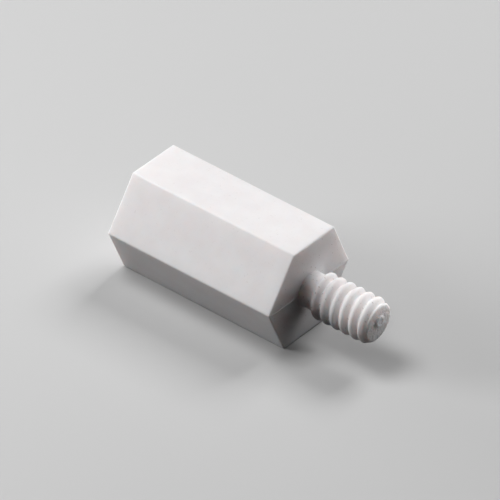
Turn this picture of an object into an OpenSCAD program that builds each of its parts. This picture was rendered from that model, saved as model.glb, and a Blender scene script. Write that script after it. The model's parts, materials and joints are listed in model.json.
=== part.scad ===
// Hex standoff with a threaded stud at one end and a blind threaded bore at the other.
// It is one moulded nylon piece, modelled along Z from the bored end and then laid on a flat along X.

/* [Hex body] */
// Distance between two opposite flats
across_flats = 6.35; // [5:0.05:10]
// Length of the hexagonal body, from the bored end to the shoulder
body_length = 11.1125; // [9:0.0125:40]
// Radius that breaks the moulded edges of the body
edge_radius = 0.08; // [0.04:0.01:0.3]

/* [Stud] */
// Length of the stud, from the shoulder to its tip face
stud_length = 4.7; // [3:0.05:10]
// Major diameter of the stud, over the crests of its thread
stud_major_d = 2.7; // [2.2:0.01:4]
// Distance from one crest of the thread to the next
thread_pitch = 0.635; // [0.4:0.005:0.8]
// Distance from the shoulder to the crest where the thread begins to rise out of the neck
thread_start = 0.62; // [0.5:0.01:1.2]
// Direction in which the thread begins, turned about the axis from the flat that faces down
thread_start_angle = 319; // [0:1:359]
// Length of the taper that leads in to the thread at the tip
tip_taper = 0.42; // [0.1:0.01:0.8]
// Radial step from the crests in to the edge of the tip face
tip_relief = 0.24; // [0.05:0.01:0.5]

/* [Gate mark] */
// Diameter of the round stub that the moulding gate leaves on the tip face
gate_d = 0.7; // [0.6:0.02:1]
// Height of the stub
gate_height = 0.15; // [0.04:0.01:0.3]
// Width of the rim round the dimple in the stub's end
gate_rim = 0.19; // [0.05:0.01:0.24]
// Distance of the stub from the stud's axis, towards the flat that faces up
gate_offset = 0.18; // [0:0.01:0.3]

/* [Threaded bore] */
// Diameter of the bore, over the crests of its thread
bore_d = 2.26; // [1.8:0.01:3.2]
// Depth of the full bore, from the bored end
bore_depth = 7.4; // [4:0.1:8]
// Radial width of the countersink at the mouth
countersink_width = 0.37; // [0.1:0.01:0.8]
// Angle across the countersink
countersink_angle = 90; // [60:1:120]

/* [Hidden] */

// Sides of a rounded edge's full circle, and the angle between the rings of its round ends
edge_facets = 24;
edge_ring_angle = 30;
// Sides of the round bodies, and steps of the thread in one turn
round_facets = 72;
steps_per_turn = 36;
// How far a cut runs past the face that it opens, and a joined piece into what carries it
overrun = 0.1;

// Slope of the thread's flanks from square to the axis, as on every unified thread
flank_angle = 30;
// Shares of the pitch: the thread's depth, and the radius of its rounded crest
thread_depth_share = 0.48;
crest_radius_share = 0.28;
// Share of the depth that the ridge's foot is sunk into the core
ridge_sink_share = 0.15;
// Share of its height at which the ridge begins, under the core's surface, and of a turn over which it rises
first_height_share = 0.1;
run_in_share = 0.4;

crest_r = stud_major_d / 2;
thread_depth = thread_depth_share * thread_pitch;
root_r = crest_r - thread_depth;
crest_radius = crest_radius_share * thread_pitch;
crest_arc = 90 - flank_angle;
ridge_sink = ridge_sink_share * thread_depth;
foot_r = root_r - ridge_sink;
flank_top_r = crest_r - crest_radius * (1 - cos(crest_arc));
foot_half = crest_radius * sin(crest_arc) + (flank_top_r - foot_r) * tan(flank_angle);
tip_r = crest_r - tip_relief;
thread_turns = (stud_length - thread_start) / thread_pitch + 1;
thread_steps = ceil(thread_turns * steps_per_turn);

bore_r = bore_d / 2;
countersink_depth = countersink_width / tan(countersink_angle / 2);

total_length = body_length + stud_length + gate_height;

// Half outline of a post with round ends, from one pole to the other
function post_outline(radius, length) = [
    for (a = [-90:edge_ring_angle:0]) [radius * cos(a), radius + radius * sin(a)],
    for (a = [0:edge_ring_angle:90]) [radius * cos(a), length - radius + radius * sin(a)]
];

// Section of the ridge at its full height, as distances from the axis and along it
ridge_section = [
    [foot_r, -foot_half],
    for (a = [-crest_arc:crest_arc / 3:crest_arc])
        [crest_r - crest_radius * (1 - cos(a)), crest_radius * sin(a)],
    [foot_r, foot_half]
];

// The ridge's section at one step of the right-hand helix
function ridge_ring(step) =
    let (
        turn = step / steps_per_turn,
        angle = thread_start_angle + 360 * turn,
        place = thread_start + thread_pitch * turn,
        rise = min(1, turn / run_in_share),
        height_share = first_height_share + rise * (1 - first_height_share)
    )
    [
        for (p = ridge_section)
            let (r = foot_r + height_share * (p[0] - foot_r))
            [r * cos(angle), r * sin(angle), place + p[1]]
    ];

// Hexagonal bar with its long edges and the edges of both ends rounded
module hex_bar() {
    corner_r = (across_flats / 2 - edge_radius) / cos(30);
    hull()
        for (corner = [0:5])
            rotate(30 + 60 * corner)
                translate([corner_r, 0])
                    rotate_extrude($fn = edge_facets)
                        polygon(post_outline(edge_radius, body_length));
}

// Helical ridge of the thread, swept along its helix from the neck to past the tip
module thread_ridge() {
    rings = [for (i = [0:thread_steps]) ridge_ring(i)];
    n = len(rings[0]);
    sides = [
        for (i = [0:thread_steps - 1], k = [0:n - 1])
            let (a = i * n + k, b = i * n + (k + 1) % n)
            each [[a, b, b + n], [a, b + n, a + n]]
    ];
    first_end = [for (k = [n - 1:-1:0]) k];
    last_end = [for (k = [0:n - 1]) thread_steps * n + k];
    polyhedron([for (ring = rings) each ring], [each sides, first_end, last_end]);
}

// Space that the tip face and its taper leave for the stud
module stud_envelope() {
    rotate_extrude($fn = round_facets)
        polygon([
            [0, -body_length],
            [crest_r + overrun, -body_length],
            [crest_r + overrun, stud_length - tip_taper * (1 + overrun / tip_relief)],
            [tip_r, stud_length],
            [0, stud_length]
        ]);
}

// Stub of the moulding gate on the tip face, with a dimple in its end
module gate_stub() {
    translate([-gate_offset, 0, stud_length])
        difference() {
            translate([0, 0, -overrun])
                cylinder(h = gate_height + overrun, d = gate_d, $fn = round_facets);
            cylinder(h = gate_height + overrun, r = gate_d / 2 - gate_rim, $fn = round_facets);
        }
}

// Stud on the plane of the shoulder, with a plain neck, its thread and a tapered tip
module threaded_stud() {
    intersection() {
        union() {
            translate([0, 0, -overrun])
                cylinder(h = overrun + stud_length + overrun, r = root_r, $fn = round_facets);
            thread_ridge();
        }
        stud_envelope();
    }
    gate_stub();
}

// Blind bore with a countersunk mouth and the flat end of its core pin
module bore() {
    rotate_extrude($fn = round_facets)
        polygon([
            [0, -overrun],
            [bore_r + countersink_width * (1 + overrun / countersink_depth), -overrun],
            [bore_r, countersink_depth],
            [bore_r, bore_depth],
            [0, bore_depth]
        ]);
}

module hex_standoff() {
    color("whitesmoke")
        translate([-total_length / 2, 0, across_flats / 2])
            rotate([0, 90, 0])
                difference() {
                    union() {
                        hex_bar();
                        translate([0, 0, body_length])
                            threaded_stud();
                    }
                    bore();
                }
}

hex_standoff();
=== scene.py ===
# Looks of a moulded nylon hex standoff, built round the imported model

import json
import math

import bmesh
import bpy
from mathutils import Matrix, Vector


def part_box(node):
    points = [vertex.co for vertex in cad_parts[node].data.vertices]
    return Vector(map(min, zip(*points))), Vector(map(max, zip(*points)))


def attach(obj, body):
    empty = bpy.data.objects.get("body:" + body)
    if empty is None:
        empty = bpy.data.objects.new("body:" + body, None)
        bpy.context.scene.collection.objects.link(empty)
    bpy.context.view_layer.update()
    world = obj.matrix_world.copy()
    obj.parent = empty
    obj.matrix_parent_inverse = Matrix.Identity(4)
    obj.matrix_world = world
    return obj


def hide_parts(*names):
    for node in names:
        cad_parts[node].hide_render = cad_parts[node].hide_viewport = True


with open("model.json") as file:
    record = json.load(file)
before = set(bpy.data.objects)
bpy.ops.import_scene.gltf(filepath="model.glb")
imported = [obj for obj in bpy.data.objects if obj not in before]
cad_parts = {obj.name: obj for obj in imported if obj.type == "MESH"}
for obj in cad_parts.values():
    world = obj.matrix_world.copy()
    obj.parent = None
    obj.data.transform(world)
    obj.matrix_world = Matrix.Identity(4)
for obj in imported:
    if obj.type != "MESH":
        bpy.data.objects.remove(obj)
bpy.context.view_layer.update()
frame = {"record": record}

# Sizes that the frame gives. The part is modelled in millimetres along Z, from its bored end.
MM = 0.001
NODE = "hex_standoff"
low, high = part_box(NODE)
mounts = {mount["name"]: mount for mount in frame["record"]["mounts"]}
stud_mount = mounts["threaded_stud"]
bore_mount = mounts["threaded_bore"]

across_flats = (high.z - low.z) / MM
corner_r = across_flats / math.sqrt(3)
axis_height = (low.z + high.z) / 2
body_length = (stud_mount["pos_m"][0] - low.x) / MM
stud_length = stud_mount["dims"]["length_mm"]
crest_r = stud_mount["dims"]["r_mm"]
bore_r = bore_mount["dims"]["r_mm"]
countersink_depth = (bore_mount["pos_m"][0] - low.x) / MM
bore_depth = countersink_depth + bore_mount["dims"]["length_mm"]
tip_z = body_length + stud_length
gate_height = (high.x - low.x) / MM - tip_z

# Steps of an arc, and how near corners lie that are merged or counted as at one height
arc_steps = 7
weld = 1e-4

# The body's moulded edges and the fine ridge where the mould's halves met
edge_radius = 0.08
edge_segments = 6
parting_width = 0.06
parting_height = 0.045

# Both threads are right-hand, with 60 degree flanks
pitch = 0.635
flank_slope = math.radians(60)
steps_per_turn = 96
flank_cuts = 3

# The stud's thread, which rises out of a plain neck
thread_depth = 0.48 * pitch
root_r = crest_r - thread_depth
crest_radius = 0.28 * pitch
root_radius = 0.03 * pitch
thread_start_z = body_length + 0.62
thread_start_angle = math.radians(319)
run_in_turns = 0.4
neck_fillet = 0.025

# The stud's tip, with its taper, its rounded rim and the stub of the moulding gate
tip_taper = 0.42
tip_relief = 0.24
tip_rim_radius = 0.13
crease_blend = 0.04
gate_r = 0.35
gate_rim = 0.14
gate_offset = 0.18
gate_fillet = 0.03
gate_edge = 0.04
dimple_radius = 0.06
dimple_floor = 0.05
dimple_slope = 70
gate_steps = 64

# The bore's thread, cut outwards into the wall of the bore
groove_depth = 0.29
groove_r = bore_r + groove_depth
groove_radius = 0.1 * pitch
bore_crest_radius = 0.12 * pitch
bore_thread_angle = math.radians(40)
bore_thread_end = bore_depth - 1.0
run_out_turns = 0.6
countersink_slope = math.radians(45)
mouth_radius = 0.06

# The nylon's tones, and how far before the shoulder and the tip face their own finish begins
cloud_shade = (0.835, 0.805, 0.81)
cloud_light = (0.868, 0.848, 0.854)
speck_shade = (0.6, 0.55, 0.53)
no_shade = (1, 1, 1)
shoulder_blend = 0.05
tip_blend = 0.08

# Half the floor's width in metres, and the greys that the floor and the backdrop show and throw
floor_reach = 1
floor_shown = 0.6
floor_thrown = 0.005
backdrop_shown = 0.3
backdrop_thrown = 0

# Sizes of the lights and how far off the softboxes stand
softbox_distance = 150
softbox_width = 60
card_width = 4

# Where the camera stands, from the middle of the shoulder to its own right, up and back
camera_azimuth = 33.36
camera_elevation = 35.9
camera_roll = 6.15
camera_right = -3.233
camera_up = 2.075
camera_back = 440.7
camera_lens = 582
camera_sensor = 36

# Shapes


def smooth_step(share):
    """Rises from 0 to 1 with a soft start and end."""
    share = min(max(share, 0), 1)
    return share * share * (3 - 2 * share)


def soft_min(a, b, blend):
    """The smaller of two sizes, with the crease between them rounded."""
    near = max(blend - abs(a - b), 0) / blend
    return min(a, b) - near * near * blend / 4


def arc(centre, radius, first, last):
    """Points of an arc in a profile, from one angle in degrees to another."""
    angles = [math.radians(first + (last - first) * i / arc_steps) for i in range(arc_steps + 1)]
    return [(centre[0] + radius * math.cos(a), centre[1] + radius * math.sin(a)) for a in angles]


def thread_profile(depth, top_radius, foot_radius):
    """One pitch of a thread as places along the axis and heights, from valley to valley over the crest."""
    rise = depth - (top_radius + foot_radius) * (1 - math.cos(flank_slope))
    foot = (top_radius + foot_radius) * math.sin(flank_slope) + rise / math.tan(flank_slope)
    top = arc((0, depth - top_radius), top_radius, 90, 30)
    bottom = arc((foot, foot_radius), foot_radius, 210, 270)
    half = top + bottom + [(pitch / 2, 0)]
    return [(-z, h) for z, h in reversed(half[1:])] + half


def draw_profile(bm, points):
    """Corners and edges of an open profile, from distances from the axis and places along it."""
    corners = [bm.verts.new((r, 0, z)) for r, z in points]
    for a, b in zip(corners, corners[1:]):
        bm.edges.new((a, b))


def wind_thread(points, start_angle, start_z, turns):
    """A bmesh with the helical surface of a one-pitch profile, wound upwards for a number of turns."""
    bm = bmesh.new()
    draw_profile(bm, points)
    flanks = sorted(bm.edges, key=lambda edge: edge.calc_length())[-2:]
    bmesh.ops.subdivide_edges(bm, edges=flanks, cuts=flank_cuts)
    bm.transform(Matrix.Translation((0, 0, start_z)) @ Matrix.Rotation(start_angle, 4, "Z"))
    bmesh.ops.spin(
        bm,
        geom=bm.verts[:] + bm.edges[:],
        cent=(0, 0, 0),
        axis=(0, 0, 1),
        dvec=(0, 0, pitch / steps_per_turn),
        angle=math.tau,
        steps=steps_per_turn,
    )
    turn = bm.verts[:] + bm.edges[:] + bm.faces[:]
    for i in range(1, turns):
        copy = bmesh.ops.duplicate(bm, geom=turn)["geom"]
        corners = [item for item in copy if isinstance(item, bmesh.types.BMVert)]
        bmesh.ops.translate(bm, verts=corners, vec=(0, 0, i * pitch))
    bmesh.ops.remove_doubles(bm, verts=bm.verts, dist=weld)
    return bm


def turns_from_start(place, start_angle, start_z):
    """How many turns along the helix the ridge nearest to a place is."""
    share = (math.atan2(place.y, place.x) - start_angle) / math.tau
    return share + round((place.z - start_z) / pitch - share)


def set_radius(vert, radius):
    """Moves a corner to a distance from the axis."""
    factor = radius / math.hypot(vert.co.x, vert.co.y)
    vert.co.x *= factor
    vert.co.y *= factor


def cut_at(bm, z, keep_above):
    """Cuts the mesh square to the axis and keeps one side."""
    bmesh.ops.bisect_plane(
        bm,
        geom=bm.verts[:] + bm.edges[:] + bm.faces[:],
        plane_co=(0, 0, z),
        plane_no=(0, 0, 1),
        dist=weld,
        clear_inner=keep_above,
        clear_outer=not keep_above,
    )


def rim_at(bm, z):
    """The open edges that lie at a height."""
    return [
        edge for edge in bm.edges
        if edge.is_boundary and all(abs(vert.co.z - z) < 2 * weld for vert in edge.verts)
    ]


def roll_rim(bm, rim, radius, slope, outward, upward):
    """Extrudes a rim round an arc, from a slope off the axis to square to it."""
    angles = [slope + (math.radians(90) - slope) * i / arc_steps for i in range(arc_steps + 1)]
    for a, b in zip(angles, angles[1:]):
        made = bmesh.ops.extrude_edge_only(bm, edges=rim)["geom"]
        for vert in [item for item in made if isinstance(item, bmesh.types.BMVert)]:
            away = Vector((vert.co.x, vert.co.y, 0)).normalized()
            vert.co += away * outward * radius * (math.cos(a) - math.cos(b))
            vert.co.z += upward * radius * (math.sin(b) - math.sin(a))
        rim = [item for item in made if isinstance(item, bmesh.types.BMEdge) and item.is_boundary]


def fill_between(bm, z):
    """Closes the flat ring between the open rims at a height with faces that stay flat-shaded."""
    made = bmesh.ops.triangle_fill(bm, use_beauty=True, edges=rim_at(bm, z), normal=(0, 0, 1))["geom"]
    faces = [item for item in made if isinstance(item, bmesh.types.BMFace)]
    for face in faces:
        face.smooth = False
    return faces


def shade_smooth(bm):
    for face in bm.faces:
        face.smooth = True


def gate_stub():
    """The round stub that the moulding gate leaves on the tip, with a rounded rim and a dimple."""
    mouth_r = gate_r - gate_rim
    floor_r = mouth_r - dimple_radius
    points = arc((gate_r + gate_fillet, gate_fillet), gate_fillet, 270, 180)
    points += arc((gate_r - gate_edge, gate_height - gate_edge), gate_edge, 0, 90)
    points += arc((mouth_r + gate_edge, gate_height - gate_edge), gate_edge, 90, 90 + dimple_slope)
    points += arc((floor_r, dimple_floor + dimple_radius), dimple_radius, dimple_slope - 90, -90)
    points += [(0, dimple_floor)]
    bm = bmesh.new()
    draw_profile(bm, points)
    bmesh.ops.spin(
        bm,
        geom=bm.verts[:] + bm.edges[:],
        cent=(0, 0, 0),
        axis=(0, 0, 1),
        angle=math.tau,
        steps=gate_steps,
        use_merge=True,
    )
    bmesh.ops.remove_doubles(bm, verts=bm.verts, dist=weld)
    shade_smooth(bm)
    bm.transform(Matrix.Translation((-gate_offset, 0, tip_z)))
    return bm


def threaded_stud():
    """The stud from the fillet at its neck to the rounded rim of its tip, both ends open."""
    profile = [(root_r + h, z) for z, h in thread_profile(thread_depth, crest_radius, root_radius)]
    spare_turns = 2
    turns = 2 * spare_turns + math.ceil((tip_z - thread_start_z) / pitch)
    bm = wind_thread(profile, thread_start_angle, thread_start_z - spare_turns * pitch, turns)
    for vert in bm.verts:
        r = math.hypot(vert.co.x, vert.co.y)
        rise = smooth_step(turns_from_start(vert.co, thread_start_angle, thread_start_z) / run_in_turns)
        taper = crest_r - tip_relief + (tip_z - vert.co.z) * tip_relief / tip_taper
        set_radius(vert, soft_min(root_r + (r - root_r) * rise, max(taper, root_r / 2), crease_blend))
    cut_at(bm, body_length + neck_fillet, keep_above=True)
    tip_slope = math.atan(tip_relief / tip_taper)
    tip_rim = tip_rim_radius * (1 - math.sin(tip_slope))
    cut_at(bm, tip_z - tip_rim, keep_above=False)
    roll_rim(bm, rim_at(bm, body_length + neck_fillet), neck_fillet, 0, 1, -1)
    roll_rim(bm, rim_at(bm, tip_z - tip_rim), tip_rim_radius, tip_slope, -1, 1)
    shade_smooth(bm)
    return bm


def threaded_bore():
    """The wall of the bore with its thread, its countersunk mouth and its flat end."""
    profile = [
        (groove_r - h, z) for z, h in thread_profile(groove_depth, bore_crest_radius, groove_radius)
    ]
    spare_turns = 1
    turns = 2 * spare_turns + math.ceil(bore_depth / pitch)
    bm = wind_thread(profile, bore_thread_angle, -spare_turns * pitch, turns)
    countersink_r = bore_r + countersink_depth * math.tan(countersink_slope)
    last_turn = bore_thread_end / pitch
    for vert in bm.verts:
        r = math.hypot(vert.co.x, vert.co.y)
        past_end = turns_from_start(vert.co, bore_thread_angle, 0) - last_turn
        depth = (r - bore_r) * (1 - smooth_step(past_end / run_out_turns))
        cone = countersink_r - vert.co.z * math.tan(countersink_slope)
        set_radius(vert, -soft_min(-bore_r - depth, -cone, crease_blend))
    mouth = mouth_radius * (1 - math.sin(countersink_slope))
    cut_at(bm, mouth, keep_above=True)
    cut_at(bm, bore_depth, keep_above=False)
    roll_rim(bm, rim_at(bm, mouth), mouth_radius, countersink_slope, 1, -1)
    shade_smooth(bm)
    for face in bmesh.ops.contextual_create(bm, geom=rim_at(bm, bore_depth))["faces"]:
        face.smooth = False
    return bm


def hex_bar():
    """The hexagonal body with its moulded edges rounded and both ends open."""
    bm = bmesh.new()
    bmesh.ops.create_cone(
        bm, cap_ends=True, segments=6, radius1=corner_r, radius2=corner_r, depth=body_length
    )
    bmesh.ops.translate(bm, verts=bm.verts, vec=(0, 0, body_length / 2))
    made = bmesh.ops.bevel(
        bm,
        geom=bm.edges[:],
        offset=edge_radius,
        offset_type="OFFSET",
        segments=edge_segments,
        profile=0.5,
        affect="EDGES",
        material=-1,
    )
    for face in made["faces"]:
        face.smooth = True
    ends = [face for face in bm.faces if abs(face.normal.z) > 0.999 and len(face.verts) > 4]
    bmesh.ops.delete(bm, geom=ends, context="FACES_ONLY")
    return bm


def raise_parting_line(bm, faces):
    """Raises the fine ridge that the mould's parting line leaves across the shoulder, clear of its rim."""
    half = parting_width / 2
    inner = root_r + neck_fillet + parting_width
    outer = corner_r - 2 * edge_radius
    cuts = [((x, 0, 0), (1, 0, 0)) for x in (-half, 0, half)]
    cuts += [((0, y, 0), (0, 1, 0)) for y in (-outer, -inner, inner, outer)]
    for place, square_to in cuts:
        geom = set(faces)
        for face in faces:
            geom.update(face.verts)
            geom.update(face.edges)
        cut = bmesh.ops.bisect_plane(
            bm, geom=list(geom), plane_co=place, plane_no=square_to, dist=weld
        )
        faces = [item for item in cut["geom"] if isinstance(item, bmesh.types.BMFace)]
    for vert in {vert for face in faces for vert in face.verts}:
        if abs(vert.co.x) < 2 * weld and inner - weld < abs(vert.co.y) < outer + weld:
            vert.co.z += parting_height


def gather(target, source):
    """Adds one bmesh to another and frees it."""
    mesh = bpy.data.meshes.new("gathered")
    source.to_mesh(mesh)
    source.free()
    target.from_mesh(mesh)
    bpy.data.meshes.remove(mesh)


def moulded_standoff():
    """The whole part as one closed mesh, laid on a flat of its hexagon with the stud towards +X."""
    bm = bmesh.new()
    for piece in (hex_bar(), threaded_stud(), gate_stub(), threaded_bore()):
        gather(bm, piece)
    fill_between(bm, tip_z)
    fill_between(bm, 0)
    raise_parting_line(bm, fill_between(bm, body_length))
    bmesh.ops.recalc_face_normals(bm, faces=bm.faces)
    laid = Matrix.Translation((low.x, 0, axis_height)) @ Matrix.Rotation(math.radians(90), 4, "Y")
    bm.transform(laid @ Matrix.Scale(MM, 4))
    mesh = bpy.data.meshes.new("moulded_standoff")
    bm.to_mesh(mesh)
    bm.free()
    part = bpy.data.objects.new("moulded_standoff", mesh)
    bpy.context.scene.collection.objects.link(part)
    return part


# Finishes


def nylon():
    """White moulded nylon: matt to satin, a little translucent and faintly clouded, with a fine grain and
    a few specks that show mostly from the shoulder on, and a mottled tip face."""
    shoulder_x = low.x / MM + body_length
    tip_x = low.x / MM + tip_z
    material = bpy.data.materials.new("moulded_nylon")
    material.use_nodes = True
    tree = material.node_tree
    shader = tree.nodes["Principled BSDF"]
    shader.inputs["IOR"].default_value = 1.53
    shader.inputs["Specular IOR Level"].default_value = 0.2
    shader.inputs["Subsurface Weight"].default_value = 0.6
    shader.inputs["Subsurface Radius"].default_value = (1.0, 0.8, 0.72)
    shader.inputs["Subsurface Scale"].default_value = 1.0 * MM

    place = tree.nodes.new("ShaderNodeTexCoord")
    in_mm = tree.nodes.new("ShaderNodeMapping")
    in_mm.inputs["Scale"].default_value = (1 / MM, 1 / MM, 1 / MM)
    tree.links.new(place.outputs["Object"], in_mm.inputs["Vector"])
    along = tree.nodes.new("ShaderNodeSeparateXYZ")
    tree.links.new(in_mm.outputs["Vector"], along.inputs["Vector"])

    def noise(per_mm, detail):
        node = tree.nodes.new("ShaderNodeTexNoise")
        node.inputs["Scale"].default_value = per_mm
        node.inputs["Detail"].default_value = detail
        tree.links.new(in_mm.outputs["Vector"], node.inputs["Vector"])
        return node.outputs["Fac"]

    def ramp(source, first, first_colour, last, last_colour):
        node = tree.nodes.new("ShaderNodeValToRGB")
        start, end = node.color_ramp.elements
        start.position = first
        start.color = (*first_colour, 1)
        end.position = last
        end.color = (*last_colour, 1)
        tree.links.new(source, node.inputs["Fac"])
        return node.outputs["Color"]

    def run(source, first, last, before, after):
        """A number that runs from before to after as the source goes from first to last."""
        node = tree.nodes.new("ShaderNodeMapRange")
        node.inputs["From Min"].default_value = first
        node.inputs["From Max"].default_value = last
        node.inputs["To Min"].default_value = before
        node.inputs["To Max"].default_value = after
        tree.links.new(source, node.inputs["Value"])
        return node.outputs["Result"]

    def from_shoulder(before, after):
        return run(along.outputs["X"], shoulder_x - shoulder_blend, shoulder_x, before, after)

    def on_tip(before, after):
        return run(along.outputs["X"], tip_x - tip_blend, tip_x, before, after)

    def bump(height, distance_mm, strength):
        node = tree.nodes.new("ShaderNodeBump")
        node.inputs["Distance"].default_value = distance_mm * MM
        tree.links.new(height, node.inputs["Height"])
        tree.links.new(strength, node.inputs["Strength"])
        return node

    clouds = ramp(noise(per_mm=0.9, detail=3), 0.3, cloud_shade, 0.7, cloud_light)
    specks = ramp(noise(per_mm=7, detail=2), 0.66, no_shade, 0.76, speck_shade)
    tint = tree.nodes.new("ShaderNodeMix")
    tint.data_type = "RGBA"
    tint.blend_type = "MULTIPLY"
    tree.links.new(from_shoulder(before=0.2, after=1), tint.inputs["Factor"])
    tree.links.new(clouds, tint.inputs["A"])
    tree.links.new(specks, tint.inputs["B"])
    tree.links.new(tint.outputs["Result"], shader.inputs["Base Color"])

    roughness = run(noise(per_mm=2.5, detail=4), 0, 1, before=0.5, after=0.62)
    tree.links.new(roughness, shader.inputs["Roughness"])

    ripple = tree.nodes.new("ShaderNodeBump")
    ripple.inputs["Strength"].default_value = 0.3
    ripple.inputs["Distance"].default_value = 0.01 * MM
    tree.links.new(noise(per_mm=1.6, detail=2), ripple.inputs["Height"])
    grain = bump(noise(per_mm=14, detail=3), 0.012, from_shoulder(before=0.2, after=0.7))
    tree.links.new(ripple.outputs["Normal"], grain.inputs["Normal"])
    mottle = bump(noise(per_mm=4, detail=4), 0.3, on_tip(before=0, after=0.7))
    tree.links.new(grain.outputs["Normal"], mottle.inputs["Normal"])
    tree.links.new(mottle.outputs["Normal"], shader.inputs["Normal"])
    return material


def shown_or_thrown(tree, shown, thrown):
    """One grey for rays that show a surface, to the camera or in gloss and glass, and one for its light."""
    path = tree.nodes.new("ShaderNodeLightPath")
    showing = path.outputs["Is Camera Ray"]
    for ray in ("Is Glossy Ray", "Is Transmission Ray"):
        either = tree.nodes.new("ShaderNodeMath")
        either.operation = "MAXIMUM"
        tree.links.new(showing, either.inputs[0])
        tree.links.new(path.outputs[ray], either.inputs[1])
        showing = either.outputs["Value"]
    grey = tree.nodes.new("ShaderNodeMix")
    grey.data_type = "RGBA"
    grey.inputs["A"].default_value = (thrown, thrown, thrown, 1)
    grey.inputs["B"].default_value = (shown, shown, shown, 1)
    tree.links.new(showing, grey.inputs["Factor"])
    return grey.outputs["Result"]


def pale_floor():
    """Pale matt floor, which throws little light back at the part."""
    material = bpy.data.materials.new("pale_floor")
    material.use_nodes = True
    tree = material.node_tree
    shader = tree.nodes["Principled BSDF"]
    shader.inputs["Roughness"].default_value = 0.9
    shader.inputs["Specular IOR Level"].default_value = 0.1
    tree.links.new(shown_or_thrown(tree, floor_shown, floor_thrown), shader.inputs["Base Color"])
    return material


# Stage


def add_floor():
    bm = bmesh.new()
    bmesh.ops.create_grid(bm, x_segments=1, y_segments=1, size=floor_reach)
    mesh = bpy.data.meshes.new("floor")
    bm.to_mesh(mesh)
    bm.free()
    mesh.materials.append(pale_floor())
    floor = bpy.data.objects.new("floor", mesh)
    bpy.context.scene.collection.objects.link(floor)


def add_world():
    world = bpy.data.worlds.new("studio")
    world.use_nodes = True
    tree = world.node_tree
    grey = shown_or_thrown(tree, backdrop_shown, backdrop_thrown)
    tree.links.new(grey, tree.nodes["Background"].inputs["Color"])
    bpy.context.scene.world = world


def add_light(name, place, target, width, level):
    """A square soft light that faces a target. Level is how bright it makes a white card there."""
    away = place - target
    light = bpy.data.lights.new(name, "AREA")
    light.size = width * MM
    light.energy = level * (math.pi * away.length * MM) ** 2
    lamp = bpy.data.objects.new(name, light)
    lamp.location = place * MM
    lamp.rotation_euler = away.to_track_quat("Z", "Y").to_euler()
    lamp.visible_camera = False
    bpy.context.scene.collection.objects.link(lamp)
    return lamp


def softbox(name, azimuth, elevation, level):
    """A large soft light at some distance from the middle of the part."""
    a, e = math.radians(azimuth), math.radians(elevation)
    away = Vector((math.sin(a) * math.cos(e), -math.cos(a) * math.cos(e), math.sin(e)))
    middle = Vector((0, 0, across_flats / 2))
    add_light(name, middle + away * softbox_distance, middle, softbox_width, level)


def small_card(name, place, along, level, part):
    """A small reflector beside the stud, which faces a place along the axis and lights only the part."""
    target = Vector((low.x / MM + along, 0, across_flats / 2))
    lamp = add_light(name, Vector(place), target, card_width, level)
    lit = bpy.data.collections.new(name)
    lit.objects.link(part)
    lamp.light_linking.receiver_collection = lit


def add_camera():
    data = bpy.data.cameras.new("camera")
    data.lens = camera_lens
    data.sensor_width = camera_sensor
    data.clip_start = 0.01
    data.clip_end = 10
    camera = bpy.data.objects.new("camera", data)
    shoulder = Vector((low.x + body_length * MM, 0, axis_height))
    turned = (
        Matrix.Rotation(math.radians(camera_azimuth), 4, "Z")
        @ Matrix.Rotation(math.radians(90 - camera_elevation), 4, "X")
        @ Matrix.Rotation(math.radians(camera_roll), 4, "Z")
    )
    stand = Vector((camera_right, camera_up, camera_back)) * MM
    camera.matrix_world = Matrix.Translation(shoulder) @ turned @ Matrix.Translation(stand)
    bpy.context.scene.collection.objects.link(camera)
    bpy.context.scene.camera = camera


# The scene

bpy.context.scene.view_settings.view_transform = "Standard"
add_camera()
add_world()
add_floor()

standoff = moulded_standoff()
standoff.data.materials.append(nylon())
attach(standoff, "root")
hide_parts(NODE)

softbox("key_softbox", 180, 50, 0.5)
softbox("front_top_softbox", -45, 66, 0.47)
softbox("left_softbox", -52, 22, 0.5)
softbox("low_front_softbox", -36, 6, 0.1)
softbox("bored_end_softbox", -90, 2, 0.46)
softbox("right_softbox", 180, 6, 0.1)
small_card("shoulder_card", (6, 7, 7), body_length, 0.13, standoff)
small_card("side_card", (4.5, 6.5, 4), body_length, 0.12, standoff)
small_card("stud_card", (11, 5.2, 5), tip_z, 0.2, standoff)
small_card("tip_card", (10.2, 1, 5), tip_z, 0.3, standoff)
